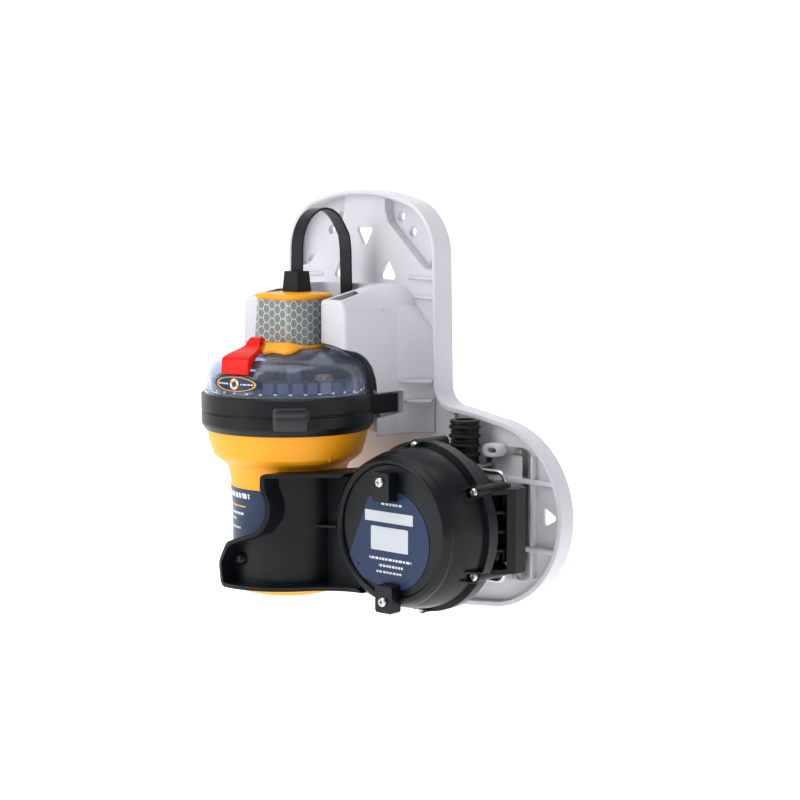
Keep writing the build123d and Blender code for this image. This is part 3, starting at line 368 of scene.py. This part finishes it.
def print_film(name, node, centre, layers, wrap=None):
    """Satin navy film with printed layers: each a colour and a mask of (tree, across, up)."""
    t = Tree(name)
    x, y, z = t.axes(t.shift(local_point(node, centre)))
    across = x
    if wrap:
        turn = t.maths("ARCTAN2", x, t.maths("MULTIPLY", y, -1.0))
        across = t.maths("MULTIPLY", t.maths("SUBTRACT", turn, radians(wrap[0])), wrap[1] * MM)
    tone = t.ramp(t.noise(60, 3), (0.3, shade(NAVY, 0.92)), (0.7, shade(NAVY, 1.08)))
    for colour, mask in layers:
        tone = t.mix(mask(t, across, z), tone, colour)
    t.surface(tone, t.span(t.noise(90, 3), 0.3, 0.7, 0.26, 0.36), Specular_IOR_Level=0.25)
    t.relief(t.noise(700, 2), 0.003, 0.5)
    MATERIALS[name] = t.material


def squares(t, *values):
    """Sum of two values' squares."""
    return t.maths("ADD", *(t.maths("POWER", t.maths("ABSOLUTE", value), 2.0) for value in values))


def spot(u, v, radius):
    """Round mask at a place on the film, in millimetres."""
    def mask(t, across, up):
        gap = squares(t, t.maths("SUBTRACT", across, u * MM), t.maths("SUBTRACT", up, v * MM))
        return t.maths("LESS_THAN", gap, (radius * MM) ** 2)
    return mask


def rows_of(*rows):
    return lambda t, across, up: dashes(t, across, up, rows)


def oval(t, across, up, wide, tall):
    """0 at the middle of an ellipse, 1 at its rim."""
    return t.maths("SQRT", squares(t, t.maths("DIVIDE", across, wide * MM), t.maths("DIVIDE", up, tall * MM)))


def badge_border(t, across, up):
    return between(t, oval(t, across, up, 18.6, 5.3), 0.80, 0.87)


def buoy(first, second):
    """Quarters of a lifebuoy: those between two phases."""
    def mask(t, across, up):
        ring = between(t, oval(t, across, up, 3.5, 3.5), 0.52, 1.0)
        phase = t.maths("FRACT", t.maths("DIVIDE", t.maths("ARCTAN2", up, across), radians(90)))
        return product(t, ring, between(t, phase, first, second))
    return mask


def thin_line(t, across, up):
    return product(t, between(t, across, -0.024, 0.022), between(t, up, -0.0730, -0.0722))


print_film("unit_print", "unit_label", UNIT, [
    (PAPER, rows_of((-18.8, 16.2, -18.4, 1.5, 2.9), (-10.8, 9.2, -22.6, 1.5, 2.6),
                    (-12.8, 8.2, -26.6, 1.3, 2.7), (-8.8, 8.2, 16.4, 1.4, 3.1))),
    ((0.004, 0.004, 0.005), spot(-28.3, -24.0, 1.3))])
print_film("body_print", "body_label", BEACON, [
    (PAPER, rows_of((-26, 26, -65.5, 3.4, 4.6), (-24, 20, -77.5, 1.6, 2.8), (-24, 10, -81.5, 1.2, 2.2),
                    (-24, 16, -87.0, 1.2, 2.4))),
    (GOLD, thin_line)], wrap=(-38.0, 36.3))
print_film("badge_print", "dome_badge", around(6, 0, 8.6), [
    (GOLD, badge_border), (PAPER, buoy(0.0, 0.5)), (GOLD, buoy(0.5, 1.0)),
    (PAPER, rows_of((-14, -5, 0, 0.9, 2.4), (5, 14, 0, 0.9, 2.4)))], wrap=(6.0, 53.4))
PRINTED = {"unit_label": "unit_print", "body_label": "body_print", "dome_badge": "badge_print"}

for row in frame["record"]["subparts"]:
    node = NODES[row["node"]]
    node.data.materials.clear()
    node.data.materials.append(MATERIALS[PRINTED.get(row["node"], row["material_slot"])])


# ---------------------------------------------------------------- mesh helpers
def finish_mesh(name, mesh, material, body, sharp=35, bevel=0.0, segments=3, replace=()):
    """Makes an object of a mesh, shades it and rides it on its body."""
    mesh.validate()
    for polygon in mesh.polygons:
        polygon.use_smooth = True
    mesh.set_sharp_from_angle(angle=radians(sharp))
    piece = bpy.data.objects.new(name, mesh)
    bpy.context.scene.collection.objects.link(piece)
    mesh.materials.append(MATERIALS[material])
    if bevel:
        soft = piece.modifiers.new("edges", "BEVEL")
        soft.width = bevel * MM
        soft.segments = segments
        soft.limit_method = "ANGLE"
        soft.angle_limit = radians(28)
        soft.harden_normals = False
    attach(piece, body)
    if replace:
        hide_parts(*replace)


def mesh_of(points, faces, name):
    mesh = bpy.data.meshes.new(name)
    mesh.from_pydata([tuple(p) for p in points], [], faces)
    tidy = bmesh.new()
    tidy.from_mesh(mesh)
    bmesh.ops.remove_doubles(tidy, verts=tidy.verts, dist=1e-6)
    bmesh.ops.recalc_face_normals(tidy, faces=tidy.faces)
    tidy.to_mesh(mesh)
    tidy.free()
    return mesh


def lathe(name, profile, place, steps=160):
    """Turns a closed profile about an axis; place(angle, radius, along) gives each point."""
    count = len(profile)
    points = [place(360.0 * n / steps, r, t) for n in range(steps) for r, t in profile]
    faces = []
    for n in range(steps):
        following = (n + 1) % steps
        for k in range(count):
            faces.append((n * count + k, n * count + (k + 1) % count,
                          following * count + (k + 1) % count, following * count + k))
    return mesh_of(points, faces, name)


def arc_points(centre, radius, first, last, count):
    """Points along an arc in a plane, angles in degrees."""
    return [(centre[0] + radius * cos(radians(first + (last - first) * k / count)),
             centre[1] + radius * sin(radians(first + (last - first) * k / count))) for k in range(count + 1)]


def smooth_line(points, steps):
    """Catmull-Rom curve through points of any dimension, as a list of tuples."""
    result = []
    ends = [points[0], *points, points[-1]]
    for a, b, c, d in zip(ends, ends[1:], ends[2:], ends[3:]):
        for k in range(steps):
            s = k / steps
            result.append(tuple(0.5 * (2 * q + (r - p) * s + (2 * p - 5 * q + 4 * r - w) * s * s
                                       + (3 * q - p - 3 * r + w) * s ** 3)
                                for p, q, r, w in zip(a, b, c, d)))
    result.append(tuple(points[-1]))
    return result


def prism_faces(count):
    """Faces of a closed block between two loops of equal length."""
    faces = [tuple(range(count)), tuple(range(count, 2 * count))]
    return faces + [(k, (k + 1) % count, count + (k + 1) % count, count + k) for k in range(count)]


def prism(name, outline, low, high, place):
    """Closed block between two levels; place(u, v, w) gives each point."""
    count = len(outline)
    points = [place(u, v, w) for w in (low, high) for u, v in outline]
    return mesh_of(points, prism_faces(count), name)


def join(name, meshes):
    """One mesh of several closed ones."""
    gather = bmesh.new()
    for mesh in meshes:
        gather.from_mesh(mesh)
        bpy.data.meshes.remove(mesh)
    result = bpy.data.meshes.new(name)
    gather.to_mesh(result)
    gather.free()
    return result


def rounded_rectangle(width, height, radius, steps):
    """Outline of a rectangle with rounded corners."""
    x, y = width / 2 - radius, height / 2 - radius
    result = []
    for turn, (sx, sy) in enumerate(((1, 1), (-1, 1), (-1, -1), (1, -1))):
        result += arc_points((sx * x, sy * y), radius, 90 * turn, 90 * turn + 90, steps)
    return result


# ---------------------------------------------------------------- inside of the dome
BLOCKS = 33
BLOCK_PITCH = 360 / BLOCKS
BLOCK_START = 30.5
SEAT_R = 49.4


def light_blocks():
    """Castellated ring of pale blocks that passes the strobe's light around the dome."""
    shapes = [lathe("foot", [(46.9, 0.3), (49.5, 0.3), (49.5, 1.5), (46.9, 1.5)], around)]
    block = [(-3.5, 1.5), (3.5, 1.5), (3.4, 8.2), (2.7, 9.3), (-2.7, 9.3), (-3.4, 8.2)]
    for n in range(BLOCKS):
        turn = BLOCK_START + n * BLOCK_PITCH
        shapes.append(prism("block", block, 46.95, SEAT_R,
                            lambda u, v, w, turn=turn: around(turn + degrees(u / SEAT_R), w, v)))
    finish_mesh("light_blocks", join("light_blocks", shapes), "diffuser_plastic", "beacon",
                bevel=0.35, segments=2, replace=["light_guide"])


def glints():
    """Painted glints: tiny lens-shaped beads at the foot of the ring, one between every two blocks, glowing
    white to paint the highlights there.
    """
    shapes = []
    lens = [(0.02, 0.9), (0.02, 0.0), (0.75, 0.0), (0.72, 0.35), (0.5, 0.7)]
    for n in range(BLOCKS):
        turn = BLOCK_START + (n + 0.5) * BLOCK_PITCH

        def place(angle, r, along, turn=turn):
            return around(turn + degrees(1.5 * r * cos(radians(angle)) / SEAT_R), 49.52 + along * 0.8,
                          2.1 + r * sin(radians(angle)))
        shapes.append(lathe("lens", lens, place, 12))
    # The beads glow white: painted highlights at the ring's foot
    finish_mesh("painted_glint_beads", join("painted_glint_beads", shapes), "glowing_glint_white", "beacon", sharp=60)


def dome_core():
    """Dark column under the neck and dark wall behind the blocks."""
    column = lathe("column", [(0.02, 3.0), (15.5, 3.0), (15.2, 5), (14.6, 22), (17.5, 26.2), (22.4, 27.6),
                              (22.4, 28.8), (0.02, 28.8)], around)
    back = lathe("back", [(46.35, 1.3), (46.8, 1.3), (46.8, 10.8), (46.35, 10.8)], around)
    finish_mesh("dome_core", join("dome_core", [column, back]), "navy_inside", "beacon",
                sharp=40)


light_blocks()
glints()
dome_core()


# ---------------------------------------------------------------- ring latch, cap, switch
RING_R = 56.0
LATCH = 47.0           # angle of the latch about the beacon's axis
LATCH_CORNER = 2.2
LATCH_COLUMNS = 20
GRIP_OUT = 78.6        # grip's axis, out of the wall
SWITCH = 7.0           # angle of the switch about the beacon's axis


def ring_latch():
    """Low rounded plate across the ring's parting line, with a raised bar on its upper part."""
    bars = []
    for high, low, reach, proud in ((-5.2, -20.0, 11.4, 0.9), (-5.8, -11.2, 10.6, 1.5)):
        rings = []
        for k in range(LATCH_COLUMNS + 1):
            u = reach * sin(radians(180 * k / LATCH_COLUMNS - 90))
            past = max(0.0, abs(u) - (reach - LATCH_CORNER))
            inset = LATCH_CORNER - sqrt(max(0.0, LATCH_CORNER ** 2 - past ** 2))
            top, foot, front = high - inset, low + inset, RING_R + proud - 0.1 * inset
            rings.append([around(LATCH + degrees(u / RING_R), w, v) for w, v in (
                (RING_R - 0.6, foot), (front - 0.4, foot), (front, foot + 0.4), (front, top - 0.4),
                (front - 0.4, top), (RING_R - 0.6, top))])
        bars.append(loft("bar", rings))
    finish_mesh("ring_latch_bars", join("ring_latch_bars", bars), "latch_black", "beacon",
                sharp=50, replace=["ring_latch"])


def square_ring(half, radius, height):
    """Rounded square about the grip's axis at a height."""
    return [wall_point(u, GRIP_OUT + v, height) for u, v in rounded_rectangle(2 * half, 2 * half, radius, 6)]


def loft(name, rings):
    """Closed skin over rings of equal length, capped at both ends."""
    count = len(rings[0])
    points = [p for ring in rings for p in ring]
    faces = []
    for n in range(len(rings) - 1):
        for k in range(count):
            faces.append((n * count + k, n * count + (k + 1) % count,
                          (n + 1) * count + (k + 1) % count, (n + 1) * count + k))
    faces.append(tuple(range(count)))
    faces.append(tuple(range((len(rings) - 1) * count, len(rings) * count)))
    return mesh_of(points, faces, name)


def crowned_cap():
    """Grip's cap: a thin rim under a softly crowned top."""
    levels = [(18.2, 6.5, 60.42), (19.9, 8.4, 60.42), (20.3, 8.8, 60.8), (20.3, 8.8, 62.0), (19.9, 8.5, 62.7),
              (18.9, 7.8, 63.2), (16.5, 6.5, 63.6), (12.0, 4.5, 63.95), (8.6, 2.5, 64.1)]
    rings = [square_ring(*level) for level in levels]
    finish_mesh("crowned_cap", loft("crowned_cap", rings), "yellow_plastic", "beacon",
                sharp=50, replace=["grip_cap"])


def switch_point(along, across, height):
    """Point in the switch's own frame: along its radius, across it, over the ring's top edge."""
    turn = radians(SWITCH)
    return BEACON + Vector((along * sin(turn) + across * cos(turn), -along * cos(turn) + across * sin(turn),
                            height)) * MM


def red_tab():
    """Switch's red cover: broad over the dome's shoulder, with a narrow upright tab."""
    side = [(28.4, 33.5, 4.3), (34.5, 33.5, 5.0), (34.9, 28.2, 7.0), (46.6, 22.4, 9.4), (51.3, 17.5, 10.6),
            (52.7, 14.8, 10.8), (54.7, 14.9, 11.0), (54.3, 20.0, 11.0), (53.5, 24.6, 11.0),
            (52.0, 25.8, 10.7), (45.0, 28.4, 9.2), (39.0, 30.4, 7.6), (36.6, 32.0, 6.2), (35.4, 34.0, 5.2),
            (34.3, 36.0, 4.4), (32.8, 36.9, 4.3), (29.6, 36.9, 4.3), (28.4, 35.8, 4.3)]
    points = [switch_point(r, -w, h) for r, h, w in side] + [switch_point(r, w, h) for r, h, w in side]
    finish_mesh("red_cover", mesh_of(points, prism_faces(len(side)), "red_cover"), "red_plastic", "switch",
                sharp=50, bevel=0.7, segments=4, replace=["red_tab"])


def dome_height(radius):
    """Height of the dome's crown at a radius."""
    table = ((24, 29.0), (28, 28.3), (32, 27.4), (36, 26.0), (40, 24.4))
    for (a, p), (b, q) in zip(table, table[1:]):
        if radius <= b:
            break
    return p + (q - p) * (radius - a) / (b - a)


def slider_crescent():
    """Yellow crescent around the neck: its outer flank waves in and out over the crown."""
    edge = smooth_line([(-17, 25.4, 31.2), (-10, 31.0, 32.4), (-2, 33.8, 33.1), (7, 34.3, 33.2),
                        (16, 34.4, 33.2), (20, 36.6, 33.2), (28, 33.8, 33.2), (36, 34.6, 33.4),
                        (43, 36.2, 33.3), (51, 34.0, 32.9), (59, 29.0, 32.0), (68, 25.6, 31.0)], 6)
    rings = []
    for angle, outer, top in edge:
        low = dome_height(outer) + 0.45
        middle_r = 24.5 + 0.5 * (outer - 24.5)
        section = [(24.45, 29.6), (24.45, top - 0.5), (24.9, top), (middle_r, top), (outer - 0.5, low + 1.9),
                   (outer, low + 1.2), (outer - 0.2, low), (middle_r, max(low, dome_height(middle_r) + 0.45))]
        rings.append([around(angle, r, h) for r, h in section])
    finish_mesh("slider_crescent", loft("slider_crescent", rings), "yellow_plastic", "switch",
                sharp=55, replace=["switch_slider"])


ring_latch()
crowned_cap()
red_tab()
slider_crescent()


# ---------------------------------------------------------------- bellows
def bellows():
    """Rubber bellows: broad crests with a fine rib between every two."""
    low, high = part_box("spring_gaiter")
    mid = (low + high) / 2
    top, foot = (high.z - RING_TOP) / MM, (low.z - RING_TOP) / MM
    outer = (high.x - low.x) / 2 / MM
    profile = [(outer - 4.1, top), (outer - 1.1, top), (outer - 0.7, top - 0.5), (outer - 0.7, top - 2.0)]
    crest = top - 4.5
    while crest > foot + 4:
        profile += [(outer - 1.5, crest + 2.3), (outer - 1.4, crest + 1.5), (outer - 0.3, crest + 0.9),
                    (outer - 0.02, crest + 0.3), (outer - 0.02, crest - 0.3), (outer - 0.3, crest - 0.9),
                    (outer - 1.4, crest - 1.5), (outer - 1.5, crest - 2.3), (outer - 1.0, crest - 2.75),
                    (outer - 1.0, crest - 3.15)]
        crest -= 5.9
    profile += [(outer - 2.0, foot + 2.5), (outer - 2.0, foot), (outer - 4.1, foot)]

    def place(angle, r, along):
        return Vector((mid.x + r * MM * sin(radians(angle)), mid.y - r * MM * cos(radians(angle)),
                       RING_TOP + along * MM))
    finish_mesh("bellows", lathe("bellows", profile, place, 96), "black_rubber", "root",
                sharp=50, replace=["spring_gaiter"])


bellows()


# ---------------------------------------------------------------- camera, light and stage
CAMERA_AT = Vector((0.920896, -0.998280, 0.037021))
LOOK = Vector((-0.6650, 0.7385, -0.1115))
camera_data = bpy.data.cameras.new("camera")
camera_data.lens = 90
camera_data.sensor_width = 36
camera = bpy.data.objects.new("camera", camera_data)
camera.location = CAMERA_AT
camera.rotation_euler = LOOK.to_track_quat("-Z", "Y").to_euler()
bpy.context.scene.collection.objects.link(camera)
bpy.context.scene.camera = camera

TARGET = (Vector(CAD_BOUNDS[0]) + Vector(CAD_BOUNDS[1])) / 2
RIGHT = LOOK.cross(Vector((0, 0, 1))).normalized()
BACK = -Vector((LOOK.x, LOOK.y, 0)).normalized()


def softbox(name, side, out, up, width, height, power):
    """Rectangular area light placed from the object, as seen by the camera, and aimed at it."""
    data = bpy.data.lights.new(name, "AREA")
    data.shape = "RECTANGLE"
    data.size = width
    data.size_y = height
    data.energy = power
    lamp = bpy.data.objects.new(name, data)
    lamp.location = TARGET + RIGHT * side + BACK * out + Vector((0, 0, up))
    lamp.rotation_euler = (TARGET - lamp.location).to_track_quat("-Z", "Y").to_euler()
    bpy.context.scene.collection.objects.link(lamp)


softbox("key_left", -1.15, 0.55, 0.60, 0.9, 1.3, 13.0)
softbox("top", -0.1, 0.25, 1.3, 1.2, 1.2, 10.0)
softbox("fill_right", 1.2, 0.7, 0.25, 0.6, 1.2, 2.0)

world = bpy.data.worlds.new("world")
bpy.context.scene.world = world
world.use_nodes = True
world.node_tree.nodes["Background"].inputs["Color"].default_value = (0.95, 0.96, 1.0, 1)
world.node_tree.nodes["Background"].inputs["Strength"].default_value = 0.30

bpy.context.scene.view_settings.view_transform = "Standard"

FLOOR_GAP = 0.12        # air between the object and the floor, in metres
FLOOR = Vector(CAD_BOUNDS[0]).z - FLOOR_GAP


def sweep_floor():
    """Pale floor that curves up into a backdrop behind the object."""
    t = Tree("stage_paper")
    t.surface(t.ramp(t.noise(3, 2), (0.3, (0.93, 0.93, 0.935)), (0.7, (0.95, 0.95, 0.955))), 0.9)
    t.feed(t.shader, Emission_Color=(1, 1, 1, 1), Emission_Strength=0.62)
    line = [(-3.0, 0.0), (1.2, 0.0)]
    line += [(1.2 + 1.0 * sin(radians(a)), 1.0 - 1.0 * cos(radians(a))) for a in range(9, 91, 9)]
    line.append((2.2, 5.0))
    points, faces = [], []
    for along, up in line:
        for side in (-6, 6):
            points.append(TARGET - BACK * along + RIGHT * side + Vector((0, 0, FLOOR - TARGET.z + up)))
    for k in range(len(line) - 1):
        faces.append((2 * k, 2 * k + 1, 2 * k + 3, 2 * k + 2))
    mesh = bpy.data.meshes.new("stage_floor")
    mesh.from_pydata(points, [], faces)
    for polygon in mesh.polygons:
        polygon.use_smooth = True
    mesh.materials.append(t.material)
    floor = bpy.data.objects.new("stage_floor", mesh)
    bpy.context.scene.collection.objects.link(floor)


sweep_floor()
